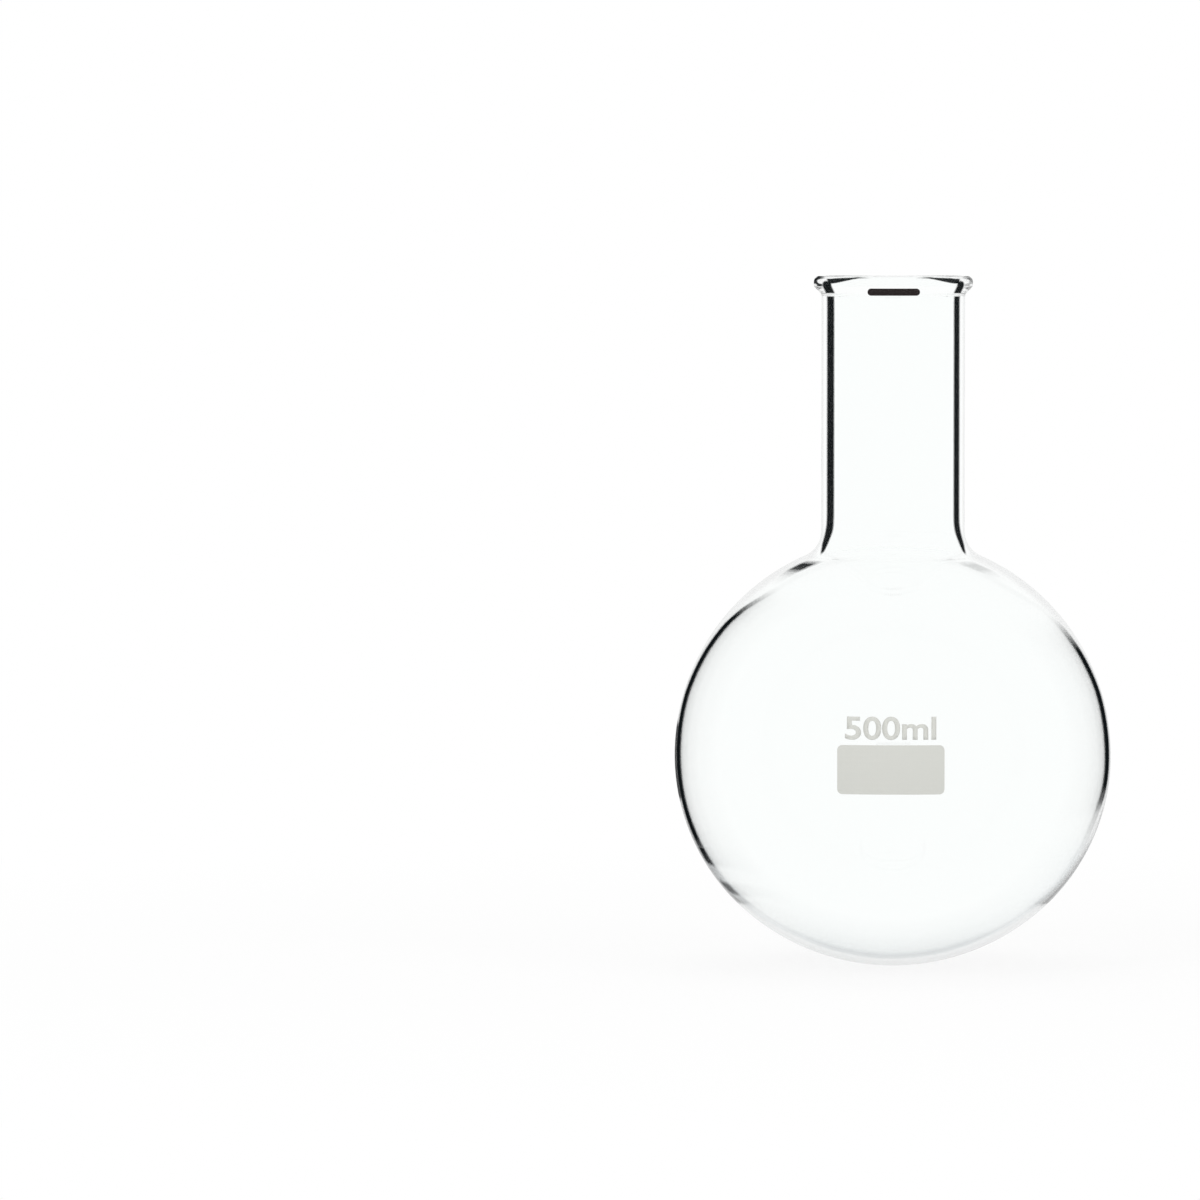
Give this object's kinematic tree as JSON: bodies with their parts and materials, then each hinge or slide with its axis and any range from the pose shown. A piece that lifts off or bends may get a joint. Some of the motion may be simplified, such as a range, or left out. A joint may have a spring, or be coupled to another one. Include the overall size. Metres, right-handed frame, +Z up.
{
  "type": "round bottom flask",
  "caption": "Single neck round bottom boiling flask of clear glass, with a straight neck and a rolled lip, made to be held at its neck.",
  "frame": {"origin": "lowest point of the bulb, on the flask's axis", "axes": "+Z up the neck along the axis of revolution, out of the mouth"},
  "size_m": [0.105, 0.105, 0.166],
  "materials": {
    "clear_glass": "gloss"
  },
  "bodies": {
    "root": {"flask": "clear_glass"}
  },
  "joints": []
}
